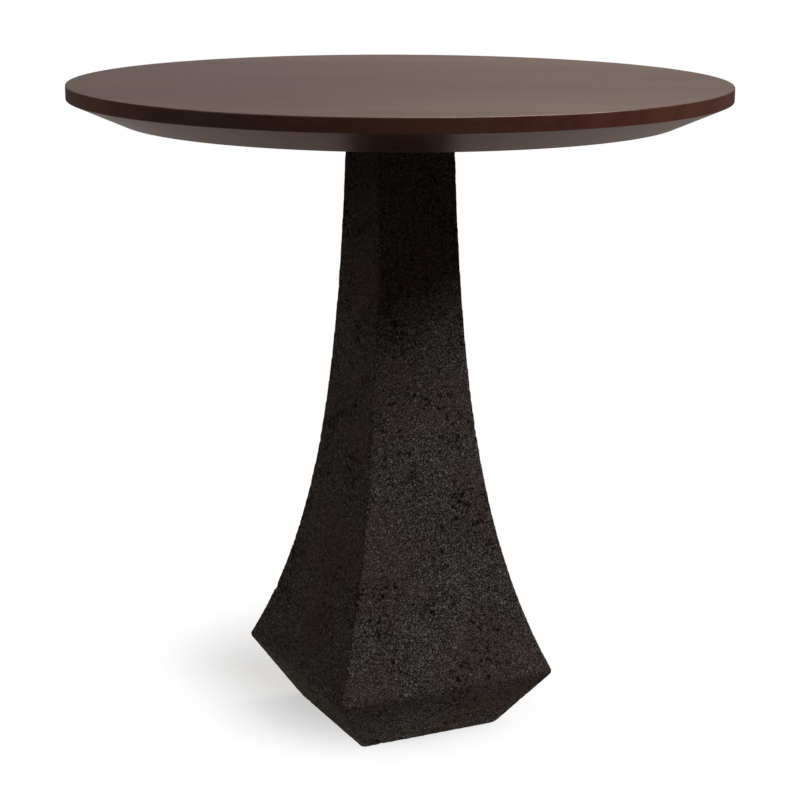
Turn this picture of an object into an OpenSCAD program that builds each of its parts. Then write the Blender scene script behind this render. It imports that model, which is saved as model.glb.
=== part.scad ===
// Side table: a round, bevelled wooden top on a flared square pillar of cast stone.
// Millimetres. The origin is on the floor below the middle of the table and +Z is up.
// The four sides of the pillar face along X and Y.

/* [Overall] */
// Height of the table with its glides screwed right in
table_h = 610; // [560:1:700]
// Diameter of the tabletop
top_d = 600; // [560:1:700]

/* [Tabletop] */
// Height of the upright band round the edge
edge_h = 12.5; // [8:0.5:20]
// Height of the bevel below the band
bevel_h = 20; // [16:0.5:30]
// How far the bevel runs in under the top
bevel_run = 46; // [20:0.5:70]
// Chamfer that eases the two corners of the band
edge_ease = 0.8; // [0.4:0.1:2]
// Direction of the grain and of the glue lines, turned from the X axis
grain_turn = -29; // [-90:1:90]

/* [Stone base] */
// Width across the flat sides at the top of the pillar
column_w = 75; // [74:1:110]
// Width across the flat sides at the widest line, near the floor
ridge_w = 221; // [190:1:280]
// Width of the foot, which the sides slope in to below the widest line
foot_w = 141; // [138:1:180]
// Height of the widest line above the foot
ridge_h = 59; // [46:1:90]
// Height over which the flare dies away to a third of itself
flare_l = 177; // [120:1:260]
// Rounding of the four long corners
arris_r = 3; // [2:0.5:8]
// Distance over which the widest line is rounded off
ridge_ease = 3; // [2:0.5:8]
// Chamfer round the foot and round the top of the pillar
end_ease = 1.5; // [0.5:0.5:3]

/* [Mounting plate] */
// Diameter of the steel plate that joins the top to the pillar
plate_d = 200; // [180:1:240]
// Thickness of the plate
plate_t = 6; // [5:0.5:10]
// Distance of the wood screws from the plate's edge
screw_inset = 15; // [10:1:20]
// Number of wood screws
screw_n = 8; // [4:1:8]
// Side of the square of bolts through the plate
bolt_square = 44; // [42:1:46]

/* [Fasteners] */
// Outer diameter of the bolts and glide stems
bolt_d = 8; // [6:1:8]
// Diameter of a bolt's countersunk head
bolt_head_d = 16; // [15:0.5:17]
// Length of a bolt
bolt_l = 30; // [24:1:32]
// Width across the flats of the socket in a bolt's head
bolt_key_w = 5; // [4:0.5:5]
// Outer diameter of a wood screw
screw_d = 5; // [4:0.5:6]
// Diameter of a wood screw's countersunk head
screw_head_d = 10; // [9:0.5:11]
// Length of a wood screw
screw_l = 22; // [18:1:24]

/* [Cast-in steel] */
// Diameter of a threaded insert
insert_d = 13; // [12:0.5:14]
// Diameter of the two collars that lock an insert in the stone
insert_collar_d = 16; // [15:0.5:17]
// Length of an insert
insert_l = 34; // [34:1:38]
// Thickness of the closed end of an insert
insert_end_t = 3; // [2:0.5:3]
// Diameter of the upright rods in the pillar
rod_d = 8; // [6:0.5:10]
// Height of the rods' lower ends above the foot
rod_foot_gap = 40; // [30:1:60]
// Diameter of the wire of the ties round the rods
tie_d = 4; // [3:0.5:5]
// Number of ties
tie_n = 4; // [3:1:6]

/* [Glides] */
// Distance from the middle of the foot to a glide, along X and along Y
glide_x = 46; // [44:1:47]
// Diameter of a glide's pad
pad_d = 28; // [24:1:30]
// Height of a pad
pad_h = 5; // [4.5:0.5:6]
// How far the pads stand out below the foot
pad_proud = 1.5; // [1:0.5:3]
// Diameter of the pocket that a pad is let into
pocket_d = 32; // [31:1:34]
// Diameter of the stem's flange inside the pad
stem_flange_d = 12; // [11:0.5:14]
// Thickness of that flange
stem_flange_t = 1.5; // [1:0.5:2]
// Width across the flats of the stem's hexagonal collar
collar_w = 13; // [12:0.5:13]
// Thickness of that collar
collar_t = 3; // [2:0.5:4]
// Length of thread in the insert when the glide is screwed right in
stem_grip = 26; // [20:1:28]

/* [Hidden] */

$fn = 96;

// Clearance all round a piece in its bore, and a length that carries a cut past a face
fit = 0.05;
past = 1;

// Levels, from the floor up
foot_z = pad_proud;
ridge_z = foot_z + ridge_h;
column_z = table_h - edge_h - bevel_h;
plate_z = column_z + plate_t;

// The staves run the whole width of the top
stave_n = 7;
stave_w = top_d / stave_n;

// Clearance round the plate in its recess
plate_gap = 0.5;

// Bolt pitch, which gives the positions of bolts, inserts and rods
bolt_x = bolt_square / 2;
bolt_hole_d = bolt_d + 1;
bolt_key_h = 3;

// Screw tip, and the wider hole through the plate
screw_tip_h = 5;
screw_hole_d = screw_d + 0.5;

// The widest part of an insert's collars, and the gap from the rods to the ties
collar_band_h = 3;
tie_gap = 0.3;

// Thickness of the pad below the stem's flange, and the height of its upright rim
sole_t = 2;
pad_rim_h = 2.5;
insert_flange_t = 2;

// Heights of the glide's faces above the bottom of its pad
flange_top = sole_t + stem_flange_t;
collar_top = pad_h + collar_t;
pocket_top = collar_top + insert_flange_t;

// Places of the four glides, going round from the corner at -X and -Y
GLIDE = [[-1, -1], [1, -1], [1, 1], [-1, 1]];

// Colours of the materials
WOOD = "#4b382d";
STONE = "#2c2a29";
BLACK_STEEL = "#34363a";
ZINC = "#a9adb1";
NYLON = "#1c1c1d";

// Copies of a piece at the four corners of a square of half side x
module at_corners(x) {
    for (c = GLIDE) translate([c[0] * x, c[1] * x, 0]) children();
}

// A round bar or bore along Z between two heights
module rod(d, z0, z1) {
    translate([0, 0, z0]) cylinder(d = d, h = z1 - z0);
}

// Tabletop

// Half section of the round top: flat face, upright band, bevel and flat underside
module top_section() {
    r = top_d / 2;
    polygon([
        [0, column_z],
        [r - bevel_run, column_z],
        [r, column_z + bevel_h - edge_ease],
        [r, table_h - edge_ease],
        [r - edge_ease, table_h],
        [0, table_h]
    ]);
}

// A countersunk wood screw pointing up, its head face at height zero
module screw_shape(gap) {
    sink = (screw_head_d - screw_d) / 2;
    rotate_extrude() polygon([
        [0, 0],
        [screw_head_d / 2 + gap, 0],
        [screw_d / 2 + gap, sink],
        [screw_d / 2 + gap, screw_l - screw_tip_h],
        [0, screw_l + gap]
    ]);
}

// The screws stand half a step round from the grain, clear of the glue lines
module at_screws() {
    for (i = [0 : screw_n - 1])
        rotate([0, 0, grain_turn + (i + 0.5) * 360 / screw_n])
            translate([plate_d / 2 - screw_inset, 0, column_z]) children();
}

// One stave: a strip of the round top, with its share of the recess for the plate
module stave(i) {
    color(WOOD) difference() {
        intersection() {
            rotate_extrude($fn = 180) top_section();
            rotate([0, 0, grain_turn])
                translate([-top_d, (i - 1) * stave_w - top_d / 2, column_z - past])
                    cube([2 * top_d, stave_w, table_h - column_z + 2 * past]);
        }
        rod(plate_d + 2 * plate_gap, column_z - past, plate_z);
        at_screws() screw_shape(fit);
    }
}

// Mounting plate and its fasteners

// A countersunk bolt pointing down, its head face at height zero
module bolt_shape() {
    sink = (bolt_head_d - bolt_d) / 2;
    rotate_extrude() polygon([
        [0, 0],
        [bolt_head_d / 2, 0],
        [bolt_d / 2, -sink],
        [bolt_d / 2, -bolt_l],
        [0, -bolt_l]
    ]);
}

// A countersunk hole through the plate, its wide end at height zero, pointing up
module sunk_hole(d, head_d) {
    sink = (head_d - d) / 2;
    rotate_extrude() polygon([
        [0, -past],
        [head_d / 2, -past],
        [head_d / 2, 0],
        [d / 2, sink],
        [d / 2, plate_t + past],
        [0, plate_t + past]
    ]);
}

module mounting_plate() {
    color(BLACK_STEEL) difference() {
        rod(plate_d, column_z, plate_z);
        at_corners(bolt_x) translate([0, 0, plate_z]) mirror([0, 0, 1])
            sunk_hole(bolt_hole_d, bolt_head_d);
        at_screws() sunk_hole(screw_hole_d, screw_head_d);
    }
}

module plate_bolts() {
    color(ZINC) at_corners(bolt_x) translate([0, 0, plate_z]) difference() {
        bolt_shape();
        translate([0, 0, -bolt_key_h])
            cylinder(d = bolt_key_w / cos(30), h = bolt_key_h + past, $fn = 6);
    }
}

module plate_screws() {
    color(ZINC) at_screws() screw_shape(0);
}

// Stone base

// Half width of the pillar at a height s above the widest line
function flare(s) =
    let (end = exp(-(column_z - ridge_z) / flare_l))
    column_w / 2 + (ridge_w - column_w) / 2 * (exp(-s / flare_l) - end) / (1 - end);

// A point between a and b, and one on the curve that b draws a towards c
function between(a, b, t) = a + (b - a) * t;
function bend(a, b, c, t) = between(between(a, b, t), between(b, c, t), t);

// The side's corners at the foot, the widest line and the top, and the points a little
// before and after each, between which it is rounded off
function along(a, b, d) = between(a, b, d / norm(b - a));
function on_flare(s) = [flare(s), ridge_z + s];
flare_h = column_z - ridge_z;
foot_corner = [foot_w / 2, foot_z];
ridge_corner = [ridge_w / 2, ridge_z];
top_corner = [column_w / 2, column_z];
foot_start = [foot_w / 2 - end_ease, foot_z];
foot_end = along(foot_corner, ridge_corner, end_ease);
ridge_start = along(ridge_corner, foot_corner, ridge_ease);
top_end = [column_w / 2 - end_ease, column_z];

// Number of points on the flare and on each rounded corner
flare_n = 26;
ridge_n = 4;
end_n = 2;

// Points along the flare lie closer together where it curves more
function step_up(t) = between(ridge_ease, flare_h - end_ease, pow(t, 1.4));

// One side of the pillar from the foot to the top, as pairs of half width and height.
// Two outlines with a different shift have no point at the same height, so nowhere
// do four faces of the pillar meet in one corner.
function side(shift) = concat(
    [foot_start],
    [for (k = [0 : end_n - 1]) bend(foot_start, foot_corner, foot_end, (k + shift) / end_n)],
    [for (k = [0 : ridge_n - 1])
        bend(ridge_start, ridge_corner, on_flare(ridge_ease), (k + shift) / ridge_n)],
    [for (k = [0 : flare_n - 1]) on_flare(step_up((k + shift) / flare_n))],
    [for (k = [0 : end_n - 1])
        bend(on_flare(flare_h - end_ease), top_corner, top_end, (k + shift) / end_n)],
    [top_end]
);

// The outline of the pillar seen square to a direction that is turned round Z.
// A square with rounded corners reaches furthest towards its corners.
module outline(turn, shift) {
    reach = abs(cos(turn)) + abs(sin(turn));
    right = [for (p = side(shift)) [(p[0] - arris_r) * reach + arris_r, p[1]]];
    left = [for (k = [len(right) - 1 : -1 : 0]) [-right[k][0], right[k][1]]];
    polygon(concat(right, left));
}

// Outlines from all round cut the pillar: four flat sides and three facets a corner
facet_turn = 22.5;
module pillar_body() {
    intersection_for (i = [0 : 7])
        rotate([90, 0, facet_turn * i])
            linear_extrude(height = 2 * ridge_w, center = true)
                outline(facet_turn * i, (i % 4 + 0.5) / 4);
}

module stone_base() {
    color(STONE) difference() {
        pillar_body();
        at_corners(bolt_x) {
            insert_shape(column_z, -1, insert_l, 0, fit);
            rod(rod_d + 2 * fit, foot_z + rod_foot_gap - fit, column_z - insert_l);
        }
        tie_rings(fit);
        at_corners(glide_x) {
            rod(pocket_d, foot_z - past, pocket_top);
            insert_shape(pocket_top, 1, insert_l - insert_flange_t, 0, fit);
        }
    }
}

// Steel that is cast into the stone

// What is drawn pointing up is left so (way 1) or turned over (way -1)
module pointing(way) {
    if (way > 0) children();
    else mirror([0, 0, 1]) children();
}

// A threaded insert from height z, up (1) or down (-1), with two locking collars and,
// where flange_t isn't zero, a flange that stands out of the stone
module insert_shape(z, way, l, flange_t, gap) {
    r = insert_d / 2 + gap;
    collar_r = insert_collar_d / 2 + gap;
    first = l / 4;
    second = l * 3 / 4;
    translate([0, 0, z]) pointing(way) rotate_extrude() polygon([
        [0, -flange_t],
        [flange_t > 0 ? collar_r : r, -flange_t],
        [flange_t > 0 ? collar_r : r, 0],
        [r, 0],
        [r, first - collar_band_h / 2],
        [collar_r, first],
        [r, first + collar_band_h / 2],
        [r, second - collar_band_h / 2],
        [collar_r, second],
        [r, second + collar_band_h / 2],
        [r, l + gap],
        [0, l + gap]
    ]);
}

module column_inserts() {
    color(ZINC) at_corners(bolt_x) difference() {
        insert_shape(column_z, -1, insert_l, 0, 0);
        rod(bolt_d + 2 * fit, column_z - insert_l + insert_end_t, column_z + past);
    }
}

module anchor_rods() {
    color(BLACK_STEEL) at_corners(bolt_x)
        rod(rod_d, foot_z + rod_foot_gap, column_z - insert_l);
}

// Square rings of wire round the four rods, spread evenly along them
module tie_rings(gap) {
    bend_r = rod_d / 2 + tie_gap + tie_d / 2;
    low = foot_z + rod_foot_gap + 2 * tie_d;
    high = column_z - insert_l - 2 * tie_d;
    for (k = [0 : tie_n - 1]) translate([0, 0, between(low, high, k / (tie_n - 1))])
        for (i = [0 : 3]) rotate([0, 0, 90 * i]) {
            translate([bolt_x, bolt_x, 0]) rotate_extrude(angle = 90)
                translate([bend_r, 0]) circle(d = tie_d + 2 * gap, $fn = 32);
            translate([bolt_x + bend_r, 0, 0]) rotate([90, 0, 0])
                cylinder(d = tie_d + 2 * gap, h = bolt_square, center = true, $fn = 32);
        }
}

module rod_ties() {
    color(BLACK_STEEL) tie_rings(0);
}

module glide_inserts() {
    color(ZINC) at_corners(glide_x) difference() {
        insert_shape(pocket_top, 1, insert_l - insert_flange_t, insert_flange_t, 0);
        rod(bolt_d + 2 * fit, collar_top - past, collar_top + insert_l - insert_end_t);
    }
}

// Glides

module at_glide(i) {
    translate([GLIDE[i - 1][0] * glide_x, GLIDE[i - 1][1] * glide_x, 0]) children();
}

// A nylon pad, moulded round the stem's flange, which turns in it
module glide_pad(i) {
    r = pad_d / 2;
    neck_r = collar_w / 2 + 1;
    bore_r = bolt_d / 2 + fit;
    room_r = stem_flange_d / 2 + fit;
    color(NYLON) at_glide(i) rotate_extrude() polygon([
        [0, 0],
        [r - 1, 0],
        [r, 1],
        [r, pad_rim_h],
        [neck_r, pad_h],
        [bore_r, pad_h],
        [bore_r, flange_top + 2 * fit],
        [room_r, flange_top + 2 * fit],
        [room_r, sole_t],
        [0, sole_t]
    ]);
}

// A threaded stem with a flange in the pad and a hexagonal collar for a spanner
module glide_stem(i) {
    color(ZINC) at_glide(i) {
        rod(stem_flange_d, sole_t, flange_top);
        rod(bolt_d, sole_t, collar_top + stem_grip);
        translate([0, 0, pad_h]) cylinder(d = collar_w / cos(30), h = collar_t, $fn = 6);
    }
}

stave(1);  // stave_1
stave(2);  // stave_2
stave(3);  // stave_3
stave(4);  // stave_4
stave(5);  // stave_5
stave(6);  // stave_6
stave(7);  // stave_7
mounting_plate();
plate_bolts();
plate_screws();
stone_base();
column_inserts();
anchor_rods();
rod_ties();
glide_inserts();
glide_pad(1);  // glide_pad_1
glide_pad(2);  // glide_pad_2
glide_pad(3);  // glide_pad_3
glide_pad(4);  // glide_pad_4
glide_stem(1);  // glide_stem_1
glide_stem(2);  // glide_stem_2
glide_stem(3);  // glide_stem_3
glide_stem(4);  // glide_stem_4
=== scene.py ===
"""Side table: a round, bevelled wooden top on a flared pillar of cast stone."""

import math

import bmesh
import bpy
from mathutils import Matrix, Vector

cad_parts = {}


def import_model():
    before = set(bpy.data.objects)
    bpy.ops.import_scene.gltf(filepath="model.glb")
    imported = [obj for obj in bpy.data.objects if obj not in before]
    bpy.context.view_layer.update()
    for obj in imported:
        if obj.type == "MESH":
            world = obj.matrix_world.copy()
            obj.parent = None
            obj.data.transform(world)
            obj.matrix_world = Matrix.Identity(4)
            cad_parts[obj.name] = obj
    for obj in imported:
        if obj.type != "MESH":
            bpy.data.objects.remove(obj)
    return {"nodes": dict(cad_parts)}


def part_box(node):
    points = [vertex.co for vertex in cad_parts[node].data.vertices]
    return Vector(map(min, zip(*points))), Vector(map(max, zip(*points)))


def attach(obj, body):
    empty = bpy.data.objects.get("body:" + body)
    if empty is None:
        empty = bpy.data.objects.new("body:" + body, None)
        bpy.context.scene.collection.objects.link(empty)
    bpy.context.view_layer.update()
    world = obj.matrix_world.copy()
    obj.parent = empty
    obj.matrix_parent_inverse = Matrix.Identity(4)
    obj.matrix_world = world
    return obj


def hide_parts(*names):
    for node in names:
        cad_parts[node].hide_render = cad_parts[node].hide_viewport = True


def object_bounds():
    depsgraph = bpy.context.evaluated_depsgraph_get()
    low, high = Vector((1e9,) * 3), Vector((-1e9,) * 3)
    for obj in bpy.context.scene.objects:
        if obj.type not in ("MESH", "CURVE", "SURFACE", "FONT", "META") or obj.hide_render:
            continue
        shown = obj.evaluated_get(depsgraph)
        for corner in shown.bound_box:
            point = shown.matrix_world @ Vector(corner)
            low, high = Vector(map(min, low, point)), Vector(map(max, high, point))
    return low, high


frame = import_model()
cad_low, cad_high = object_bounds()

MM = 0.001

# The photograph's camera, fitted to the outline of the table
PHOTO_SIDE = 800
FOCAL_PIXELS = 2071.5
SENSOR_MM = 36.0
CAMERA_DISTANCE = 1.8901
CAMERA_HEIGHT = 0.7847
CAMERA_AZIMUTH = math.radians(-26.03)
CAMERA_YAW = math.radians(-0.033)
CAMERA_PITCH = math.radians(14.03)
CAMERA_ROLL = math.radians(0.242)

# Tabletop, as in the CAD
TOP_LOW, TOP_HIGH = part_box("stave_4")[0].z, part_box("stave_4")[1].z
TOP_R = (cad_high.x - cad_low.x) / 2
EDGE_H = 12.5 * MM
BAND_LOW = TOP_HIGH - EDGE_H
BEVEL_RUN = 46 * MM
GRAIN_TURN = math.radians(-29)
STAVES = 7
STAVE_W = 2 * TOP_R / STAVES
RECESS_R = 100.5 * MM
PLATE_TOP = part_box("mounting_plate")[1].z

# Rounding of the top's arrises, the narrow strip beside it, and steps round the whole top
RIM_ROUND = 0.8 * MM
FLAT_EDGE = 0.3 * MM
TOP_STEPS = 480

# Stone base, as in the CAD
FOOT_Z, COLUMN_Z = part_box("stone_base")[0].z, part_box("stone_base")[1].z
COLUMN_W = 75 * MM
RIDGE_W = 221 * MM
FOOT_W = 141 * MM
RIDGE_H = 59 * MM
FLARE_L = 177 * MM
ARRIS_R = 3 * MM
RIDGE_EASE = 3 * MM
END_EASE = 1.5 * MM
POCKET_R = 16 * MM
POCKET_TOP = 10 * MM
GLIDE_X = 46 * MM

# Steps of the pillar's outline, how they crowd towards its widest line, and the grid of its skin
FLARE_STEPS = 60
FLARE_CROWDING = 1.4
RIDGE_STEPS = 6
END_STEPS = 4
CORNER_STEPS = 6
STONE_GRID = 2.02 * MM

# Screws and glide stems, as in the CAD
SCREW_N = 8
SCREW_RING = 85 * MM
SCREW_D, SCREW_HEAD_D, SCREW_L = 5 * MM, 10 * MM, 22 * MM
SCREW_TIP = 5 * MM
STEM_D, STEM_TOP = 8 * MM, 34 * MM
SOLE_T = 2 * MM
FLANGE_D, FLANGE_TOP = 12 * MM, 3.5 * MM
COLLAR_W, COLLAR_LOW, COLLAR_TOP = 13 * MM, 5 * MM, 8 * MM

# Threads and sockets, which the CAD leaves out
SCREW_PITCH = 2.2 * MM
SOCKET_R, SOCKET_DEPTH = 2.4 * MM, 1.8 * MM
STEM_PITCH = 1.25 * MM
STEM_THREAD = 0.6 * MM

# Colours of the wood, in linear red, green and blue
WOOD_DARK = (0.051, 0.0143, 0.0072, 1)
WOOD_LIGHT = (0.085, 0.0268, 0.0152, 1)
WOOD_CLOUD = (0.080, 0.038, 0.018, 1)
WOOD_PORE = (0.030, 0.010, 0.005, 1)

# Painted sheen on the outer parts and on the outer face, painted shade on the upright band and on part of
# the band
OUTER_SHEEN = (1.25, 1.50, 1.60, 1)
FACE_SHEEN = (1.14, 1.16, 1.14, 1)
BAND_SHADE = (1.05, 0.78, 0.88, 1)
BAND_PATCH_SHADE = (0.52, 0.78, 1.0, 1)

# Colours of the stone
STONE_DARK = (0.011, 0.0048, 0.0034, 1)
STONE_PALE = (0.268, 0.2460, 0.2390, 1)
STONE_FLAKE = (0.40, 0.36, 0.34, 1)
STONE_TINT = (0.070, 0.038, 0.037, 1)
# Painted shade in the pits: near black
STONE_PIT_SHADE = (0.004, 0.0024, 0.0020, 1)


# Nodes

def set_inputs(tree, node, inputs):
    """Values or links on the inputs of a node."""
    for key, value in inputs.items():
        if isinstance(value, bpy.types.NodeSocket):
            tree.links.new(value, node.inputs[key])
        else:
            node.inputs[key].default_value = value


def add(tree, kind, inputs=None, **settings):
    """A node of a tree, with its settings and with values or links on its inputs."""
    node = tree.nodes.new(kind)
    for name, value in settings.items():
        setattr(node, name, value)
    set_inputs(tree, node, inputs or {})
    return node


def maths(tree, operation, a, b=0.0):
    """One sum on two numbers or links."""
    return add(tree, "ShaderNodeMath", {0: a, 1: b}, operation=operation).outputs[0]


def total(tree, a, b):
    return maths(tree, "ADD", a, b)


def less(tree, a, b):
    return maths(tree, "SUBTRACT", a, b)


def times(tree, a, b):
    return maths(tree, "MULTIPLY", a, b)


def most(tree, a, b):
    return maths(tree, "MAXIMUM", a, b)


def vectors(tree, operation, a, b=(0, 0, 0)):
    """One sum on two vectors."""
    return add(tree, "ShaderNodeVectorMath", {0: a, 1: b}, operation=operation).outputs[0]


def split(tree, place):
    """The x, y and z of a place."""
    return add(tree, "ShaderNodeSeparateXYZ", {0: place}).outputs


def combined(tree, x, y, z):
    """A vector of three numbers or links."""
    return add(tree, "ShaderNodeCombineXYZ", {0: x, 1: y, 2: z}).outputs[0]


def stretched(tree, place, scale):
    """Places scaled along each axis, which draws a pattern out where the scale is small."""
    return add(tree, "ShaderNodeMapping", {"Vector": place, "Scale": scale}).outputs[0]


def ramp(tree, value, low, high, to_low=0.0, to_high=1.0, smooth=False):
    """Value carried from one range to another, and held at the ends."""
    inputs = {"Value": value, "From Min": low, "From Max": high, "To Min": to_low, "To Max": to_high}
    kind = "SMOOTHSTEP" if smooth else "LINEAR"
    return add(tree, "ShaderNodeMapRange", inputs, interpolation_type=kind).outputs["Result"]


def noise(tree, place, scale, detail=2.0, rough=0.5, distort=0.0):
    """A soft random pattern, with so many waves to the metre."""
    inputs = {"Vector": place, "Scale": scale, "Detail": detail, "Roughness": rough, "Distortion": distort}
    return add(tree, "ShaderNodeTexNoise", inputs).outputs[0]


def cells(tree, place, scale):
    """Three random numbers for each grain, with so many grains to the metre."""
    colour = add(tree, "ShaderNodeTexVoronoi", {"Vector": place, "Scale": scale}).outputs["Color"]
    return add(tree, "ShaderNodeSeparateColor", {0: colour}).outputs


def blend_colour(tree, share, first, second, kind="MIX"):
    """A share of the second colour laid over the first."""
    node = add(tree, "ShaderNodeMix", data_type="RGBA", blend_type=kind, clamp_factor=True)
    set_inputs(tree, node, {0: share, 6: first, 7: second})
    return node.outputs[2]


def tinted(tree, share, colour, stain):
    """A colour multiplied by a share of a tint; here it lays painted sheen and painted shade on the wood.
    """
    return blend_colour(tree, share, colour, stain, "MULTIPLY")


# Finishes

def new_material(name):
    """An empty material with its tree, its shader and the places on the piece."""
    material = bpy.data.materials.new(name)
    material.use_nodes = True
    tree = material.node_tree
    tree.nodes.clear()
    shader = add(tree, "ShaderNodeBsdfPrincipled")
    add(tree, "ShaderNodeOutputMaterial", {"Surface": shader.outputs[0]})
    place = add(tree, "ShaderNodeTexCoord").outputs["Object"]
    return material, tree, shader, place


def bump(tree, shader, height, strength, depth):
    """Fine relief that is too small for the mesh."""
    relief = add(tree, "ShaderNodeBump", {"Height": height, "Strength": strength, "Distance": depth})
    tree.links.new(relief.outputs[0], shader.inputs["Normal"])


def stained_wood():
    """Dark brown straight-grained wood under a satin lacquer."""
    material, tree, shader, place = new_material("stained_wood")
    turned = add(tree, "ShaderNodeMapping", {"Vector": place, "Rotation": (0, 0, -GRAIN_TURN)}).outputs[0]
    x, y, z = split(tree, turned)
    board = add(tree, "ShaderNodeAttribute", attribute_name="board").outputs["Fac"]
    shift = combined(tree, times(tree, board, 3.7), times(tree, board, 0.9), times(tree, board, 1.3))
    along = vectors(tree, "ADD", turned, shift)
    fibre = stretched(tree, along, (0.03, 1, 1))
    rings = noise(tree, stretched(tree, along, (0.10, 1, 0.6)), 30, detail=3, distort=0.3)
    streaks = noise(tree, fibre, 330, detail=3, rough=0.6)
    pore = ramp(tree, noise(tree, fibre, 1100), 0.62, 0.76)
    broad = stretched(tree, turned, (0.22, 1, 1))
    cloud = ramp(tree, noise(tree, broad, 16, detail=4, rough=0.55, distort=0.4), 0.38, 0.62, 0.0, 0.75)
    tone = total(tree, times(tree, rings, 0.45), times(tree, streaks, 0.55))
    colour = blend_colour(tree, ramp(tree, tone, 0.30, 0.70), WOOD_DARK, WOOD_LIGHT)
    colour = blend_colour(tree, cloud, colour, WOOD_CLOUD)

    # Painted sheen: the wood is paler and greyer towards the outer parts across the grain
    outer_sheen = ramp(tree, maths(tree, "ABSOLUTE", y), 0.3 * TOP_R, 0.95 * TOP_R, smooth=True)
    colour = tinted(tree, outer_sheen, colour, OUTER_SHEEN)
    # Painted sheen: the outer parts of the top face are paler still
    face = ramp(tree, z, TOP_HIGH - 1.5 * MM, TOP_HIGH - 0.5 * MM)
    colour = tinted(tree, times(tree, outer_sheen, face), colour, FACE_SHEEN)
    # Painted shade: a darker, redder upright band, which also takes back part of the painted sheen there
    band = less(tree, ramp(tree, z, BAND_LOW - 0.5 * MM, BAND_LOW + 0.5 * MM), face)
    colour = tinted(tree, band, colour, BAND_SHADE)
    # Painted shade: a darker, less red stretch of the band on one side of the top
    band_shade_start = ramp(tree, x, -0.82 * TOP_R, -0.6 * TOP_R)
    band_shade_end = ramp(tree, x, -0.05 * TOP_R, -0.4 * TOP_R)
    patch = times(tree, band_shade_start, band_shade_end)
    colour = tinted(tree, times(tree, band, patch), colour, BAND_PATCH_SHADE)

    set_inputs(tree, shader, {
        "Base Color": blend_colour(tree, times(tree, pore, 0.35), colour, WOOD_PORE),
        "Roughness": ramp(tree, streaks, 0.3, 0.7, 0.27, 0.33),
        "Specular IOR Level": 0.30,
    })
    height = less(tree, times(tree, streaks, 0.3), pore)
    bump(tree, shader, height, strength=0.06, depth=0.3 * MM)
    return material


def cast_stone():
    """Black-brown stone of coarse grains, with pits and paler specks."""
    material, tree, shader, place = new_material("cast_stone")
    sand = cells(tree, place, 1400)[1]
    flake = cells(tree, place, 1000)[0]
    grain = ramp(tree, noise(tree, place, 900, rough=0.6), 0.36, 0.64)
    tint = ramp(tree, noise(tree, place, 11), 0.42, 0.66, 0.0, 0.5)
    tone = total(tree, times(tree, sand, 0.8), times(tree, grain, 0.2))
    tone = maths(tree, "POWER", ramp(tree, tone, 0.06, 0.94), 3.4)
    colour = blend_colour(tree, tone, STONE_DARK, STONE_PALE)
    colour = blend_colour(tree, ramp(tree, flake, 0.978, 0.988, 0.0, 0.8), colour, STONE_FLAKE)
    colour = blend_colour(tree, tint, colour, STONE_TINT)

    pore = ramp(tree, noise(tree, place, 430, rough=0.6, distort=0.3), 0.59, 0.65)
    pit = ramp(tree, noise(tree, place, 230, detail=3, rough=0.6, distort=0.6), 0.55, 0.63)
    pitted = ramp(tree, noise(tree, place, 24, detail=3, rough=0.6), 0.44, 0.60)
    # The pits get painted shade as their colour, besides their relief and lower gloss
    hollow = most(tree, times(tree, pore, 0.8), times(tree, times(tree, pit, pitted), 0.95))

    gloss = ramp(tree, tone, 0, 1, 0.16, 0.70)
    set_inputs(tree, shader, {
        "Base Color": blend_colour(tree, hollow, colour, STONE_PIT_SHADE),
        "Roughness": 0.85,
        "Specular IOR Level": times(tree, gloss, less(tree, 1.0, hollow)),
    })
    height = less(tree, tone, times(tree, hollow, 1.6))
    bump(tree, shader, height, strength=1.0, depth=0.9 * MM)
    return material


def fine_finish(name, low, high, rough, metallic, scale, drawn=(1, 1, 1)):
    """A metal or a moulded finish with fine, uneven tone and a slight grain."""
    material, tree, shader, place = new_material(name)
    fine = noise(tree, stretched(tree, place, drawn), scale, detail=3, rough=0.6)
    wide = noise(tree, place, 60)
    tone = total(tree, times(tree, fine, 0.6), times(tree, wide, 0.4))
    set_inputs(tree, shader, {
        "Base Color": blend_colour(tree, ramp(tree, tone, 0.3, 0.7), low, high),
        "Roughness": ramp(tree, fine, 0.3, 0.7, rough - 0.06, rough + 0.08),
        "Metallic": metallic,
    })
    bump(tree, shader, fine, strength=0.15, depth=0.2 * MM)
    return material


WOOD = stained_wood()
STONE = cast_stone()
POWDER_COAT = fine_finish("black_powder_coat", low=(0.012, 0.012, 0.013, 1), high=(0.024, 0.024, 0.025, 1),
                          rough=0.55, metallic=0.0, scale=1500)
DRAWN_STEEL = fine_finish("drawn_steel", low=(0.20, 0.17, 0.15, 1), high=(0.36, 0.34, 0.32, 1),
                          rough=0.45, metallic=1.0, scale=700, drawn=(1, 1, 0.05))
ZINC = fine_finish("zinc_plate", low=(0.50, 0.51, 0.53, 1), high=(0.72, 0.73, 0.74, 1),
                   rough=0.30, metallic=1.0, scale=900)
NYLON = fine_finish("moulded_nylon", low=(0.010, 0.010, 0.011, 1), high=(0.018, 0.018, 0.019, 1),
                    rough=0.48, metallic=0.0, scale=1100)


# Meshes and pieces

def object_from(name, bm, material):
    """A new object that holds a bmesh, shaded smooth."""
    bmesh.ops.recalc_face_normals(bm, faces=bm.faces)
    mesh = bpy.data.meshes.new(name)
    bm.to_mesh(mesh)
    bm.free()
    mesh.materials.append(material)
    mesh.polygons.foreach_set("use_smooth", [True] * len(mesh.polygons))
    piece = bpy.data.objects.new(name, mesh)
    bpy.context.scene.collection.objects.link(piece)
    return piece


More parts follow.
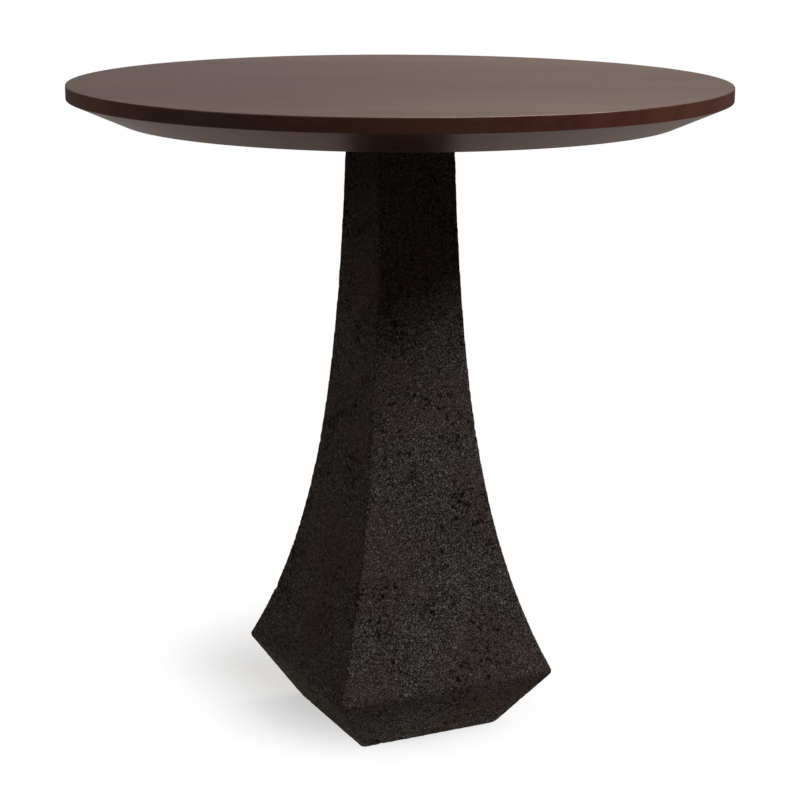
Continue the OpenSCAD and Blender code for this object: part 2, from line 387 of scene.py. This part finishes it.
def settle(piece):
    """Works the piece's modifiers into a plain mesh."""
    graph = bpy.context.evaluated_depsgraph_get()
    graph.update()
    mesh = bpy.data.meshes.new_from_object(piece.evaluated_get(graph))
    old = piece.data
    piece.modifiers.clear()
    piece.data = mesh
    mesh.name = piece.name
    bpy.data.meshes.remove(old)


def install(piece, body, slot, *nodes):
    """The piece rides on a body and stands for CAD nodes."""
    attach(piece, body)
    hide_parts(*nodes)


def arc(centre, radius, start, end, steps):
    """Points on an arc, angles in degrees."""
    angles = [math.radians(start + (end - start) * k / steps) for k in range(steps + 1)]
    return [(centre[0] + radius * math.cos(a), centre[1] + radius * math.sin(a)) for a in angles]


# Tabletop

def top_section():
    """Half section of the top, from the middle of the recess round to the middle of the face.

    A narrow strip beside each rounding keeps the shading of the wide faces flat.
    """
    slope = math.degrees(math.atan2(BAND_LOW - TOP_LOW, BEVEL_RUN))
    upper = arc((TOP_R - RIM_ROUND, TOP_HIGH - RIM_ROUND), RIM_ROUND, 0, 90, steps=6)
    half_turn = (90 - slope) / 2
    inset = RIM_ROUND * math.tan(math.radians(half_turn))
    lower = arc((TOP_R - RIM_ROUND, BAND_LOW + inset), RIM_ROUND, -(90 - slope), 0, steps=5)
    recess = [(0, PLATE_TOP), (RECESS_R, PLATE_TOP), (RECESS_R, TOP_LOW)]
    strip = Vector((BEVEL_RUN, BAND_LOW - TOP_LOW)).normalized() * FLAT_EDGE
    bevel = [(TOP_R - BEVEL_RUN, TOP_LOW), (lower[0][0] - strip.x, lower[0][1] - strip.y)]
    band = [(TOP_R, lower[-1][1] + FLAT_EDGE), (TOP_R, upper[0][1] - FLAT_EDGE)]
    face = [(upper[-1][0] - FLAT_EDGE, TOP_HIGH), (0, TOP_HIGH)]
    return recess + bevel + lower + band + upper + face


def top_solid():
    """The whole top turned on its axis, as a closed bmesh."""
    bm = bmesh.new()
    section = [bm.verts.new((r, 0, z)) for r, z in top_section()]
    edges = [bm.edges.new(pair) for pair in zip(section, section[1:])]
    bmesh.ops.spin(bm, geom=section + edges, cent=(0, 0, 0), axis=(0, 0, 1),
                   angle=math.tau, steps=TOP_STEPS, use_merge=True)
    bmesh.ops.remove_doubles(bm, verts=bm.verts, dist=0.001 * MM)
    return bm


def stave(number):
    """One board of the top, cut from the turned solid along the grain.

    Its own value of "board" gives it a figure that differs from its neighbours'.
    """
    bm = top_solid()
    across = Vector((-math.sin(GRAIN_TURN), math.cos(GRAIN_TURN), 0))
    low = -TOP_R + (number - 1) * STAVE_W
    for place, away in ((low, -1), (low + STAVE_W, 1)):
        if abs(place) > TOP_R - MM:
            continue
        geom = list(bm.verts) + list(bm.edges) + list(bm.faces)
        cut = bmesh.ops.bisect_plane(bm, geom=geom, plane_co=across * place,
                                     plane_no=across * away, clear_outer=True)
        edge = [e for e in cut["geom_cut"] if isinstance(e, bmesh.types.BMEdge)]
        bmesh.ops.edgeloop_fill(bm, edges=edge)
    piece = object_from(f"tabletop_board_{number}", bm, WOOD)
    piece.data.set_sharp_from_angle(angle=math.radians(20))
    board = piece.data.attributes.new("board", "FLOAT", "POINT")
    board.data.foreach_set("value", [number * 7 % 5 + number * 0.31] * len(board.data))
    install(piece, "table", "wood", f"stave_{number}")


# Stone base

def flare(height):
    """Half width of the pillar at a height above its widest line."""
    end = math.exp(-(COLUMN_Z - FOOT_Z - RIDGE_H) / FLARE_L)
    share = (math.exp(-height / FLARE_L) - end) / (1 - end)
    return COLUMN_W / 2 + (RIDGE_W - COLUMN_W) / 2 * share


def bend(a, b, c, steps):
    """Points on the curve that b draws from a towards c."""
    points = []
    for k in range(steps + 1):
        t = k / steps
        points.append(a.lerp(b, t).lerp(b.lerp(c, t), t))
    return points


def side_line():
    """Half width and height from the foot to the head of the pillar."""
    ridge_z = FOOT_Z + RIDGE_H
    flare_h = COLUMN_Z - ridge_z
    foot = Vector((FOOT_W / 2, FOOT_Z))
    ridge = Vector((RIDGE_W / 2, ridge_z))
    head = Vector((COLUMN_W / 2, COLUMN_Z))
    down = (foot - ridge).normalized()
    above_ridge = Vector((flare(RIDGE_EASE), ridge_z + RIDGE_EASE))
    below_head = Vector((flare(flare_h - END_EASE), COLUMN_Z - END_EASE))
    line = bend(Vector((foot.x - END_EASE, FOOT_Z)), foot, foot - down * END_EASE, END_STEPS)
    line += bend(ridge + down * RIDGE_EASE, ridge, above_ridge, RIDGE_STEPS)
    for k in range(1, FLARE_STEPS):
        share = (k / FLARE_STEPS) ** FLARE_CROWDING
        height = RIDGE_EASE + (flare_h - END_EASE - RIDGE_EASE) * share
        line.append(Vector((flare(height), ridge_z + height)))
    line += bend(below_head, head, Vector((head.x - END_EASE, COLUMN_Z)), END_STEPS)
    return line


def rounded_ring(bm, half, z):
    """Vertices round a square with rounded corners."""
    ring = []
    for quarter in range(4):
        turn = Matrix.Rotation(quarter * math.pi / 2, 3, "Z")
        for x, y in arc((half - ARRIS_R, half - ARRIS_R), ARRIS_R, 0, 90, CORNER_STEPS):
            ring.append(bm.verts.new(turn @ Vector((x, y, z))))
    return ring


def stone_form():
    """The smooth, closed form of the casting, before its pockets are cut."""
    bm = bmesh.new()
    rings = [rounded_ring(bm, point.x, point.y) for point in side_line()]
    for low, high in zip(rings, rings[1:]):
        for k in range(len(low)):
            n = (k + 1) % len(low)
            bm.faces.new((low[k], low[n], high[n], high[k]))
    bm.faces.new(list(reversed(rings[0])))
    bm.faces.new(rings[-1])
    return bm


def pocket_cutter():
    """Four upright bars that cut the pockets of the glides."""
    bm = bmesh.new()
    for x in (-GLIDE_X, GLIDE_X):
        for y in (-GLIDE_X, GLIDE_X):
            middle = Matrix.Translation((x, y, POCKET_TOP / 2))
            bmesh.ops.create_cone(bm, cap_ends=True, segments=64, radius1=POCKET_R, radius2=POCKET_R,
                                  depth=POCKET_TOP, matrix=middle)
    return object_from("pocket_cutter", bm, STONE)


def shape_tree(name, *sizes):
    """A geometry nodes tree with named sizes and a finish as its inputs."""
    tree = bpy.data.node_groups.new(name, "GeometryNodeTree")
    sockets = tree.interface
    sockets.new_socket("Geometry", in_out="INPUT", socket_type="NodeSocketGeometry")
    sockets.new_socket("Geometry", in_out="OUTPUT", socket_type="NodeSocketGeometry")
    for size in sizes:
        sockets.new_socket(size, in_out="INPUT", socket_type="NodeSocketFloat")
    sockets.new_socket("Finish", in_out="INPUT", socket_type="NodeSocketMaterial")
    return tree, add(tree, "NodeGroupInput").outputs


def finish_tree(tree, shape, finish):
    """Shading, finish and output at the end of a tree."""
    smooth = add(tree, "GeometryNodeSetShadeSmooth", {"Geometry": shape, "Shade Smooth": True})
    dressed = add(tree, "GeometryNodeSetMaterial", {"Geometry": smooth.outputs[0], "Material": finish})
    whole = add(tree, "GeometryNodeRealizeInstances", {"Geometry": dressed.outputs[0]})
    add(tree, "NodeGroupOutput", {"Geometry": whole.outputs[0]})
    return tree


def relief_tree():
    """Geometry nodes that give a cast face its grains, waves and pits."""
    tree, inputs = shape_tree("cast_relief", "Grain Size", "Grain Depth", "Wave Size", "Wave Depth",
                              "Pit Size", "Pit Depth", "Patch Size")
    place = add(tree, "GeometryNodeInputPosition").outputs[0]

    def per(size):
        return maths(tree, "DIVIDE", 1.0, inputs[size])

    grain = ramp(tree, noise(tree, place, per("Grain Size"), rough=0.6), 0.25, 0.75, -0.5, 0.5)
    wave = less(tree, noise(tree, place, per("Wave Size"), detail=1), 0.5)
    pit = ramp(tree, noise(tree, place, per("Pit Size"), distort=0.4), 0.54, 0.68)
    patch = ramp(tree, noise(tree, place, per("Patch Size"), rough=0.6), 0.46, 0.60)
    depth = total(tree, times(tree, grain, inputs["Grain Depth"]), times(tree, wave, inputs["Wave Depth"]))
    depth = total(tree, depth, times(tree, times(tree, pit, patch), inputs["Pit Depth"]))
    normal = add(tree, "GeometryNodeInputNormal").outputs[0]
    inward = add(tree, "ShaderNodeVectorMath", {0: normal, "Scale": times(tree, depth, -1)},
                 operation="SCALE").outputs[0]
    moved = add(tree, "GeometryNodeSetPosition", {"Geometry": inputs["Geometry"], "Offset": inward})
    return finish_tree(tree, moved.outputs[0], inputs["Finish"])


def apply_tree(piece, tree, values):
    """A geometry nodes modifier whose inputs are set by name."""
    modifier = piece.modifiers.new(tree.name, "NODES")
    modifier.node_group = tree
    for item in tree.interface.items_tree:
        if item.in_out == "INPUT" and item.name in values:
            modifier[item.identifier] = values[item.name]


def stone_base():
    """The casting: its form, less the pockets, with its skin worked into the mesh."""
    piece = object_from("cast_stone_base", stone_form(), STONE)
    cutter = pocket_cutter()
    pockets = piece.modifiers.new("pockets", "BOOLEAN")
    pockets.object = cutter
    pockets.operation = "DIFFERENCE"
    pockets.solver = "EXACT"
    grid = piece.modifiers.new("grid", "REMESH")
    grid.mode = "VOXEL"
    grid.voxel_size = STONE_GRID
    apply_tree(piece, relief_tree(), {
        "Grain Size": 4 * MM, "Grain Depth": 0.35 * MM, "Wave Size": 60 * MM, "Wave Depth": 0.3 * MM,
        "Pit Size": 8 * MM, "Pit Depth": 1.2 * MM, "Patch Size": 42 * MM, "Finish": STONE})
    settle(piece)
    bpy.data.objects.remove(cutter)
    install(piece, "table", "stone", "stone_base")


# Threaded hardware

def turned_bar(tree, finish, around, along, length):
    """A bar of radius 1 that stands on the ground, and the x, y and z of its points."""
    inputs = {"Vertices": around, "Side Segments": along, "Radius": 1.0, "Depth": length}
    mesh = add(tree, "GeometryNodeMeshCylinder", inputs).outputs["Mesh"]
    mesh = add(tree, "GeometryNodeSetMaterial", {"Geometry": mesh, "Material": finish}).outputs[0]
    x, y, z = split(tree, add(tree, "GeometryNodeInputPosition").outputs[0])
    return mesh, x, y, total(tree, z, times(tree, length, 0.5))


def with_radius(tree, mesh, x, y, z, radius):
    """The bar with a radius at each point, and with its heights set."""
    place = combined(tree, times(tree, x, radius), times(tree, y, radius), z)
    return add(tree, "GeometryNodeSetPosition", {"Geometry": mesh, "Position": place}).outputs[0]


def crest(tree, x, y, z, pitch):
    """Height of a right-hand thread at a point: 1 on its crest and 0 at its root."""
    turn = maths(tree, "DIVIDE", maths(tree, "ARCTAN2", y, x), math.tau)
    saw = maths(tree, "FRACT", less(tree, maths(tree, "DIVIDE", z, pitch), turn))
    from_crest = maths(tree, "ABSOLUTE", less(tree, saw, 0.5))
    return less(tree, 1.0, times(tree, from_crest, 2.0))


def joined(tree, operation, first, *others):
    """A boolean of closed shapes."""
    node = add(tree, "GeometryNodeMeshBoolean", operation=operation, solver="EXACT")
    if operation == "DIFFERENCE":
        tree.links.new(first, node.inputs["Mesh 1"])
    else:
        others = (first,) + others
    for shape in others:
        tree.links.new(shape, node.inputs["Mesh 2"])
    return node.outputs["Mesh"]


def screw_tree():
    """Geometry nodes for a ring of countersunk wood screws that point up, with lobed sockets."""
    root_share = 0.68
    root_flat = 0.45
    blunt = 0.04
    lobes, lobe_depth = 6.0, 0.12
    tree, inputs = shape_tree("screw_ring", "Number", "Ring Radius", "Turn", "Height", "Length",
                              "Shank Radius", "Head Radius", "Tip Length", "Pitch", "Socket Radius",
                              "Socket Depth")
    mesh, x, y, z = turned_bar(tree, inputs["Finish"], 32, 110, inputs["Length"])
    sink = less(tree, inputs["Head Radius"], inputs["Shank Radius"])
    rise = less(tree, crest(tree, x, y, z, inputs["Pitch"]), root_flat)
    rise = most(tree, times(tree, rise, 1 / (1 - root_flat)), 0.0)
    run_in = ramp(tree, z, times(tree, sink, 1.6), times(tree, sink, 2.2))
    thread = times(tree, rise, run_in)
    share = total(tree, root_share, times(tree, thread, 1 - root_share))
    to_tip = maths(tree, "DIVIDE", less(tree, inputs["Length"], z), inputs["Tip Length"])
    taper = most(tree, maths(tree, "MINIMUM", to_tip, 1.0), blunt)
    shank = times(tree, times(tree, inputs["Shank Radius"], share), taper)
    radius = most(tree, less(tree, inputs["Head Radius"], z), shank)
    screw = with_radius(tree, mesh, x, y, z, radius)

    depth = times(tree, inputs["Socket Depth"], 2.0)
    mesh, x, y, z = turned_bar(tree, inputs["Finish"], 48, 1, depth)
    wave = maths(tree, "COSINE", times(tree, maths(tree, "ARCTAN2", y, x), lobes))
    share = total(tree, 1 - lobe_depth, times(tree, wave, lobe_depth))
    radius = times(tree, inputs["Socket Radius"], share)
    socket = with_radius(tree, mesh, x, y, less(tree, z, inputs["Socket Depth"]), radius)
    screw = joined(tree, "DIFFERENCE", screw, socket)

    circle = {"Vertices": inputs["Number"], "Radius": inputs["Ring Radius"]}
    ring = add(tree, "GeometryNodeMeshCircle", circle).outputs[0]
    lift = combined(tree, 0, 0, inputs["Height"])
    turn = combined(tree, 0, 0, inputs["Turn"])
    ring = add(tree, "GeometryNodeTransform", {"Geometry": ring, "Translation": lift, "Rotation": turn})
    screws = add(tree, "GeometryNodeInstanceOnPoints", {"Points": ring.outputs[0], "Instance": screw})
    return finish_tree(tree, screws.outputs[0], inputs["Finish"])


def stem_tree():
    """Geometry nodes for a threaded stem with a flange in the pad and a hexagonal collar."""
    tree, inputs = shape_tree("glide_stem", "X", "Y", "Low", "High", "Radius", "Pitch", "Thread Depth",
                              "Flange Radius", "Flange High", "Collar Width", "Collar Low", "Collar High")
    length = less(tree, inputs["High"], inputs["Low"])
    mesh, x, y, z = turned_bar(tree, inputs["Finish"], 40, 240, length)
    z = total(tree, z, inputs["Low"])
    root = less(tree, 1.0, crest(tree, x, y, z, inputs["Pitch"]))
    above = maths(tree, "GREATER_THAN", z, inputs["Collar High"])
    cut = times(tree, times(tree, root, above), inputs["Thread Depth"])
    ease = ramp(tree, less(tree, inputs["High"], z), 0.0, inputs["Pitch"], 1.0, 0.0)
    cut = most(tree, cut, times(tree, ease, inputs["Thread Depth"]))
    stem = with_radius(tree, mesh, x, y, z, less(tree, inputs["Radius"], cut))

    def disc(around, radius, low, high):
        thickness = less(tree, inputs[high], inputs[low])
        mesh, x, y, z = turned_bar(tree, inputs["Finish"], around, 1, thickness)
        return with_radius(tree, mesh, x, y, total(tree, z, inputs[low]), radius)

    flange = disc(48, inputs["Flange Radius"], "Low", "Flange High")
    corner_r = times(tree, inputs["Collar Width"], 0.5 / math.cos(math.radians(30)))
    collar = disc(6, corner_r, "Collar Low", "Collar High")
    whole = joined(tree, "UNION", stem, flange, collar)
    shift = combined(tree, inputs["X"], inputs["Y"], 0)
    placed = add(tree, "GeometryNodeTransform", {"Geometry": whole, "Translation": shift})
    return finish_tree(tree, placed.outputs[0], inputs["Finish"])


def grown(name, tree, values):
    """A piece whose whole mesh comes from a tree."""
    piece = bpy.data.objects.new(name, bpy.data.meshes.new(name))
    bpy.context.scene.collection.objects.link(piece)
    apply_tree(piece, tree, values)
    settle(piece)
    piece.data.materials.clear()
    piece.data.materials.append(values["Finish"])
    piece.data.polygons.foreach_set("material_index", [0] * len(piece.data.polygons))
    piece.data.set_sharp_from_angle(angle=math.radians(40))
    return piece


def wood_screws():
    """The ring of screws that hold the plate, half a step round from the grain."""
    screws = grown("wood_screws", screw_tree(), {
        "Number": SCREW_N, "Ring Radius": SCREW_RING, "Turn": GRAIN_TURN + math.pi / SCREW_N,
        "Height": TOP_LOW, "Length": SCREW_L, "Shank Radius": SCREW_D / 2,
        "Head Radius": SCREW_HEAD_D / 2, "Tip Length": SCREW_TIP, "Pitch": SCREW_PITCH,
        "Socket Radius": SOCKET_R, "Socket Depth": SOCKET_DEPTH, "Finish": ZINC})
    install(screws, "table", "zinc_steel", "plate_screws")


def glide_stems():
    """The stems of the four levelling glides, each on its own body."""
    tree = stem_tree()
    for number, (side_x, side_y) in enumerate(((-1, -1), (1, -1), (1, 1), (-1, 1)), 1):
        stem = grown(f"threaded_stem_{number}", tree, {
            "X": side_x * GLIDE_X, "Y": side_y * GLIDE_X, "Low": SOLE_T, "High": STEM_TOP,
            "Radius": STEM_D / 2, "Pitch": STEM_PITCH, "Thread Depth": STEM_THREAD,
            "Flange Radius": FLANGE_D / 2, "Flange High": FLANGE_TOP,
            "Collar Width": COLLAR_W, "Collar Low": COLLAR_LOW, "Collar High": COLLAR_TOP, "Finish": ZINC})
        install(stem, f"stem_{number}", "zinc_steel", f"glide_stem_{number}")


# Hardware that keeps its CAD shape

CARRIED = {
    "mounting_plate": (POWDER_COAT, "black_steel"),
    "plate_bolts": (ZINC, "zinc_steel"),
    "column_inserts": (ZINC, "zinc_steel"),
    "glide_inserts": (ZINC, "zinc_steel"),
    "anchor_rods": (DRAWN_STEEL, "plain_steel"),
    "rod_ties": (DRAWN_STEEL, "plain_steel"),
    "glide_pad_1": (NYLON, "nylon"),
    "glide_pad_2": (NYLON, "nylon"),
    "glide_pad_3": (NYLON, "nylon"),
    "glide_pad_4": (NYLON, "nylon"),
}


def dress_carried():
    """A finish on each CAD piece that stays as it is."""
    for node, (material, slot) in CARRIED.items():
        piece = frame["nodes"][node]
        piece.data.materials.clear()
        piece.data.materials.append(material)


# Stage, light and camera

# The floor's size, and the middle and half size of the oblong that its shadow lies round
FLOOR_R = 4.0
SHADOW_MIDDLE = (0, 0.113, 0)
SHADOW_HALF = (0, 0.055, 0)

# The floor's own colour for the camera, for a gloss, and for light near the foot and further out
FLOOR_SEEN = (0.307, 0.322, 0.343, 1)
FLOOR_MIRRORED = (0.25, 0.19, 0.18, 1)
FLOOR_NEAR = (0.90, 0.84, 0.81, 1)
FLOOR_FAR = (0.15, 0.142, 0.138, 1)

# What the floor adds for the camera, for light near the foot and further out,
# and for a gloss near the foot, further out and far behind the table
GLOW_SEEN = (0.53, 0.53, 0.53, 1)
GLOW_LIGHT = (0.385, 0.415, 0.31, 1)
GLOW_NONE = (0, 0, 0, 1)
GLOW_NEAR = (0.090, 0.071, 0.067, 1)
GLOW_FAR = (0.224, 0.198, 0.194, 1)
GLOW_BEHIND = (0.43, 0.38, 0.37, 1)

# Strength of the backdrop for a gloss and for the even light, where 1 is white
BACKDROP_MIRRORED = 0.08
BACKDROP_LIGHT = 0.005


def floor():
    """A pale floor that the camera sees only from above and round the base, where it holds the shadow."""
    bm = bmesh.new()
    bmesh.ops.create_circle(bm, cap_ends=True, segments=96, radius=FLOOR_R)
    material, tree, shader, place = new_material("pale_floor")
    path = add(tree, "ShaderNodeLightPath").outputs
    seen, mirrored = path["Is Camera Ray"], path["Is Glossy Ray"]
    offset = vectors(tree, "ABSOLUTE", vectors(tree, "SUBTRACT", place, SHADOW_MIDDLE))
    offset = vectors(tree, "MAXIMUM", vectors(tree, "SUBTRACT", offset, SHADOW_HALF))
    distance = add(tree, "ShaderNodeVectorMath", {0: offset}, operation="LENGTH").outputs["Value"]
    clear_of_foot = ramp(tree, distance, 0.13, 0.27)
    behind = ramp(tree, split(tree, place)[1], 1.3, 2.2)

    colour = blend_colour(tree, clear_of_foot, FLOOR_NEAR, FLOOR_FAR)
    colour = blend_colour(tree, mirrored, colour, FLOOR_MIRRORED)
    colour = blend_colour(tree, seen, colour, FLOOR_SEEN)
    light = blend_colour(tree, clear_of_foot, GLOW_LIGHT, GLOW_NONE)
    glow = blend_colour(tree, ramp(tree, distance, 0.26, 0.52), GLOW_NEAR, GLOW_FAR)
    glow = blend_colour(tree, behind, glow, GLOW_BEHIND)
    glow = blend_colour(tree, mirrored, light, glow)
    glow = blend_colour(tree, seen, glow, GLOW_SEEN)
    set_inputs(tree, shader, {
        "Base Color": colour, "Roughness": 0.9, "Specular IOR Level": 0.1,
        "Emission Color": glow, "Emission Strength": 1})

    below = add(tree, "ShaderNodeNewGeometry").outputs["Backfacing"]
    fade = most(tree, ramp(tree, distance, 0.061, 0.192, smooth=True), below)
    clear = add(tree, "ShaderNodeBsdfTransparent").outputs[0]
    mixed = add(tree, "ShaderNodeMixShader", {0: times(tree, fade, seen), 1: shader.outputs[0], 2: clear})
    output = next(n for n in tree.nodes if n.type == "OUTPUT_MATERIAL")
    tree.links.new(mixed.outputs[0], output.inputs["Surface"])
    object_from("floor", bm, material)


def world():
    """White behind everything for the camera, far dimmer in a gloss, and hardly any light of its own."""
    scene = bpy.context.scene
    scene.world = bpy.data.worlds.new("studio")
    scene.world.use_nodes = True
    tree = scene.world.node_tree
    tree.nodes.clear()
    path = add(tree, "ShaderNodeLightPath").outputs
    seen = most(tree, path["Is Camera Ray"], path["Is Transmission Ray"])
    mirrored = times(tree, path["Is Glossy Ray"], BACKDROP_MIRRORED)
    strength = most(tree, ramp(tree, seen, 0, 1, BACKDROP_LIGHT, 1.0), mirrored)
    background = add(tree, "ShaderNodeBackground", {"Color": (1, 1, 1, 1), "Strength": strength})
    add(tree, "ShaderNodeOutputWorld", {"Surface": background.outputs[0]})


def softbox(name, place, aim, size, watts, colour=(1, 1, 1)):
    """A flat lamp that the camera doesn't see, turned to face a point."""
    light = bpy.data.lights.new(name, "AREA")
    light.shape = "RECTANGLE"
    light.size, light.size_y = size
    light.energy = watts
    light.color = colour
    lamp = bpy.data.objects.new(name, light)
    lamp.location = place
    lamp.visible_camera = False
    lamp.rotation_euler = (Vector(aim) - Vector(place)).to_track_quat("-Z", "Y").to_euler()
    bpy.context.scene.collection.objects.link(lamp)


def lights():
    """A wide softbox high on the right, weaker ones overhead and on the left, and panels behind."""
    softbox("key_softbox", place=(1.3, -1.2, 1.89), aim=(0, 0, 0.4), size=(0.8, 0.6), watts=39.5)
    softbox("overhead_softbox", place=(0.6, -0.1, 2.2), aim=(0, 0, 0.6), size=(1.0, 1.0), watts=3)
    softbox("left_softbox", place=(-1.3, -0.25, 1.3), aim=(0, 0, 0.2), size=(1.0, 1.0), watts=6.2,
            colour=(1, 0.98, 0.84))
    softbox("back_high", place=(0.5, 1.1, 1.9), aim=(0, 0, 0.6), size=(1.4, 0.5), watts=6.2)
    softbox("back_right", place=(0.85, 0.85, 1.9), aim=(0.1, 0, 0.6), size=(0.6, 0.5), watts=15.4,
            colour=(1, 0.82, 0.70))
    softbox("back_low", place=(1.1, 2.25, 0.8), aim=(0, 0, 0.8), size=(4.0, 0.3), watts=1.85)


def camera():
    """The fitted camera, with its own right, up and backward directions."""
    data = bpy.data.cameras.new("camera")
    data.sensor_width = SENSOR_MM
    data.sensor_fit = "HORIZONTAL"
    data.lens = FOCAL_PIXELS / PHOTO_SIDE * SENSOR_MM
    place = Vector((CAMERA_DISTANCE * math.sin(CAMERA_AZIMUTH),
                    -CAMERA_DISTANCE * math.cos(CAMERA_AZIMUTH), CAMERA_HEIGHT))
    heading = CAMERA_AZIMUTH + CAMERA_YAW
    level = Vector((-math.sin(heading), math.cos(heading), 0))
    side = Vector((math.cos(heading), math.sin(heading), 0))
    up = Vector((0, 0, 1))
    ahead = level * math.cos(CAMERA_PITCH) - up * math.sin(CAMERA_PITCH)
    top = up * math.cos(CAMERA_PITCH) + level * math.sin(CAMERA_PITCH)
    right = side * math.cos(CAMERA_ROLL) + top * math.sin(CAMERA_ROLL)
    above = top * math.cos(CAMERA_ROLL) - side * math.sin(CAMERA_ROLL)
    eye = bpy.data.objects.new("camera", data)
    eye.matrix_world = Matrix.Translation(place) @ Matrix((right, above, -ahead)).transposed().to_4x4()
    bpy.context.scene.collection.objects.link(eye)
    bpy.context.scene.camera = eye


camera()
stone_base()
for board_number in range(1, STAVES + 1):
    stave(board_number)
wood_screws()
glide_stems()
dress_carried()
floor()
world()
lights()
bpy.context.scene.view_settings.view_transform = "Standard"
